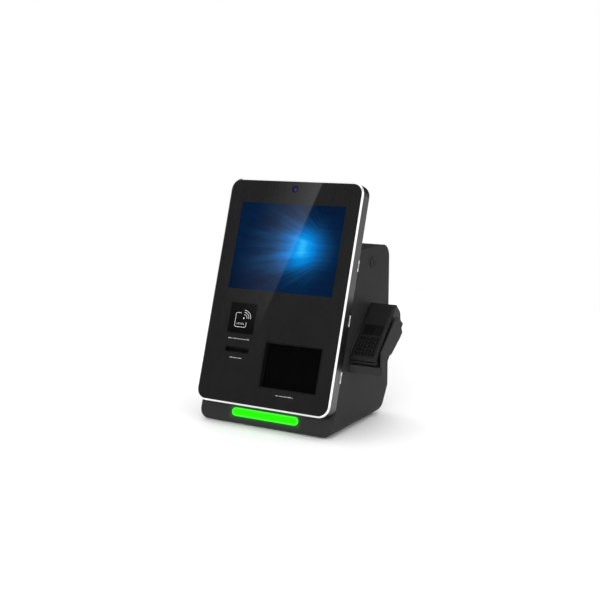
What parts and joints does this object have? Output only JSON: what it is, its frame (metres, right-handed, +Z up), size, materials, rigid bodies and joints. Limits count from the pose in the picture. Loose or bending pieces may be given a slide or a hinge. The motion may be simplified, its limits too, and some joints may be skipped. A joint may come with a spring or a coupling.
{
  "type": "self checkout kiosk",
  "caption": "Countertop self-checkout kiosk: tilted touch-screen door with card slot and document window on a sheet-metal housing, payment terminal in a side cradle.",
  "frame": {"origin": "middle of the whole object's footprint, on the floor", "axes": "+X to the right of a customer facing the screen, +Y to the back, +Z up"},
  "size_m": [0.3826, 0.2648, 0.4936],
  "materials": {
    "black_steel": "fine-textured black powder coat",
    "bright_frame": "machined aluminium with a polished chamfer and a brushed side",
    "black_glass": "black-printed cover glass, polished",
    "screen_glass": "dark lens or window glass",
    "steel": "bright steel",
    "black_plastic": "moulded black plastic",
    "terminal_plastic": "fine-grained black plastic",
    "key_rubber": "moulded key rubber",
    "green_light": "green diffuser, lit from behind",
    "foot_rubber": "moulded rubber",
    "circuit_board": "green solder mask",
    "board_module": "anodised aluminium",
    "paper": "thermal paper"
  },
  "bodies": {
    "housing": {"body_shell": "black_steel", "lock_barrel": "black_plastic", "latch_bush": "steel", "led_diffuser": "green_light", "led_strip": "circuit_board", "computer_box": "board_module", "power_supply": "steel", "speaker": "black_plastic", "power_inlet": "black_plastic", "foot_1": "foot_rubber", "foot_2": "foot_rubber", "foot_3": "foot_rubber", "foot_4": "foot_rubber", "terminal_cradle": "black_steel", "hinge_leaf_body_1": "steel", "hinge_leaf_body_2": "steel", "hinge_leaf_body_3": "steel", "rear_hinge_rod": "steel"},
    "front_door": {"bezel_frame": "bright_frame", "front_glass": "black_glass", "display_panel": "black_plastic", "camera_lens": "screen_glass", "camera_board": "circuit_board", "nfc_board": "circuit_board", "card_bezel": "black_plastic", "card_reader": "black_plastic", "scan_bay": "black_plastic", "scan_glass": "screen_glass", "scan_camera": "circuit_board", "door_back_pan": "black_steel", "door_keeper": "steel", "hinge_leaf_door_1": "steel", "hinge_leaf_door_2": "steel", "hinge_leaf_door_3": "steel"},
    "rear_lid": {"rear_cover": "black_steel", "fan_frame": "black_plastic"},
    "fan": {"fan_rotor": "black_plastic"},
    "lock": {"lock_cam": "steel"},
    "door_latch": {"latch_cam": "steel"},
    "power_rocker": {"rocker_switch": "black_plastic"},
    "payment_terminal": {"terminal_case": "terminal_plastic", "terminal_cover": "terminal_plastic", "terminal_window": "screen_glass", "paper_roll": "paper"},
    "paper_lid": {"printer_lid": "terminal_plastic"},
    "button_cancel": {"key_cancel": "key_rubber"},
    "button_clear": {"key_clear": "key_rubber"},
    "button_enter": {"key_enter": "key_rubber"},
    "button_star": {"key_star": "key_rubber"},
    "button_0": {"key_0": "key_rubber"},
    "button_hash": {"key_hash": "key_rubber"},
    "button_7": {"key_7": "key_rubber"},
    "button_8": {"key_8": "key_rubber"},
    "button_9": {"key_9": "key_rubber"},
    "button_4": {"key_4": "key_rubber"},
    "button_5": {"key_5": "key_rubber"},
    "button_6": {"key_6": "key_rubber"},
    "button_1": {"key_1": "key_rubber"},
    "button_2": {"key_2": "key_rubber"},
    "button_3": {"key_3": "key_rubber"}
  },
  "joints": [
    {"name": "front_door_hinge", "type": "hinge", "parent": "housing", "child": "front_door", "pos_m": [0.123, -0.04561, 0.22529], "axis": [0, 0.3173, 0.9483], "range_deg": [0, 95]},
    {"name": "rear_lid_hinge", "type": "hinge", "parent": "housing", "child": "rear_lid", "pos_m": [-0.034, 0.12476, 0.068], "axis": [-1, 0, 0], "range_deg": [0, 75]},
    {"name": "fan_spin", "type": "hinge", "parent": "rear_lid", "child": "fan", "pos_m": [-0.034, 0.12206, 0.2], "axis": [0, 1, 0], "continuous": true},
    {"name": "lock_turn", "type": "hinge", "parent": "housing", "child": "lock", "pos_m": [0.12335, 0.05626, 0.3304], "axis": [1, 0, 0], "range_deg": [0, 90]},
    {"name": "door_latch_turn", "type": "hinge", "parent": "housing", "child": "door_latch", "pos_m": [-0.18905, 0.01921, 0.30684], "axis": [1, 0, 0], "range_deg": [0, 90]},
    {"name": "power_rocker_tilt", "type": "hinge", "parent": "housing", "child": "power_rocker", "pos_m": [-0.016, 0.11141, 0.03567], "axis": [1, 0, 0], "range_deg": [0, 12]},
    {"name": "terminal_lift", "type": "slide", "parent": "housing", "child": "payment_terminal", "axis": [0, 0.682, 0.7314], "range_m": [0, 0.06]},
    {"name": "paper_lid_hinge", "type": "hinge", "parent": "payment_terminal", "child": "paper_lid", "pos_m": [0.15505, 0.04586, 0.24897], "axis": [-1, 0, 0], "range_deg": [0, 100]},
    {"name": "press_cancel", "type": "slide", "parent": "payment_terminal", "child": "button_cancel", "axis": [0, 0.7314, -0.682], "range_m": [0, 0.001], "stiffness_N_per_m": 300, "springref_m": -0.001},
    {"name": "press_clear", "type": "slide", "parent": "payment_terminal", "child": "button_clear", "axis": [0, 0.7314, -0.682], "range_m": [0, 0.001], "stiffness_N_per_m": 300, "springref_m": -0.001},
    {"name": "press_enter", "type": "slide", "parent": "payment_terminal", "child": "button_enter", "axis": [0, 0.7314, -0.682], "range_m": [0, 0.001], "stiffness_N_per_m": 300, "springref_m": -0.001},
    {"name": "press_star", "type": "slide", "parent": "payment_terminal", "child": "button_star", "axis": [0, 0.7314, -0.682], "range_m": [0, 0.001], "stiffness_N_per_m": 300, "springref_m": -0.001},
    {"name": "press_0", "type": "slide", "parent": "payment_terminal", "child": "button_0", "axis": [0, 0.7314, -0.682], "range_m": [0, 0.001], "stiffness_N_per_m": 300, "springref_m": -0.001},
    {"name": "press_hash", "type": "slide", "parent": "payment_terminal", "child": "button_hash", "axis": [0, 0.7314, -0.682], "range_m": [0, 0.001], "stiffness_N_per_m": 300, "springref_m": -0.001},
    {"name": "press_7", "type": "slide", "parent": "payment_terminal", "child": "button_7", "axis": [0, 0.7314, -0.682], "range_m": [0, 0.001], "stiffness_N_per_m": 300, "springref_m": -0.001},
    {"name": "press_8", "type": "slide", "parent": "payment_terminal", "child": "button_8", "axis": [0, 0.7314, -0.682], "range_m": [0, 0.001], "stiffness_N_per_m": 300, "springref_m": -0.001},
    {"name": "press_9", "type": "slide", "parent": "payment_terminal", "child": "button_9", "axis": [0, 0.7314, -0.682], "range_m": [0, 0.001], "stiffness_N_per_m": 300, "springref_m": -0.001},
    {"name": "press_4", "type": "slide", "parent": "payment_terminal", "child": "button_4", "axis": [0, 0.7314, -0.682], "range_m": [0, 0.001], "stiffness_N_per_m": 300, "springref_m": -0.001},
    {"name": "press_5", "type": "slide", "parent": "payment_terminal", "child": "button_5", "axis": [0, 0.7314, -0.682], "range_m": [0, 0.001], "stiffness_N_per_m": 300, "springref_m": -0.001},
    {"name": "press_6", "type": "slide", "parent": "payment_terminal", "child": "button_6", "axis": [0, 0.7314, -0.682], "range_m": [0, 0.001], "stiffness_N_per_m": 300, "springref_m": -0.001},
    {"name": "press_1", "type": "slide", "parent": "payment_terminal", "child": "button_1", "axis": [0, 0.7314, -0.682], "range_m": [0, 0.001], "stiffness_N_per_m": 300, "springref_m": -0.001},
    {"name": "press_2", "type": "slide", "parent": "payment_terminal", "child": "button_2", "axis": [0, 0.7314, -0.682], "range_m": [0, 0.001], "stiffness_N_per_m": 300, "springref_m": -0.001},
    {"name": "press_3", "type": "slide", "parent": "payment_terminal", "child": "button_3", "axis": [0, 0.7314, -0.682], "range_m": [0, 0.001], "stiffness_N_per_m": 300, "springref_m": -0.001}
  ]
}
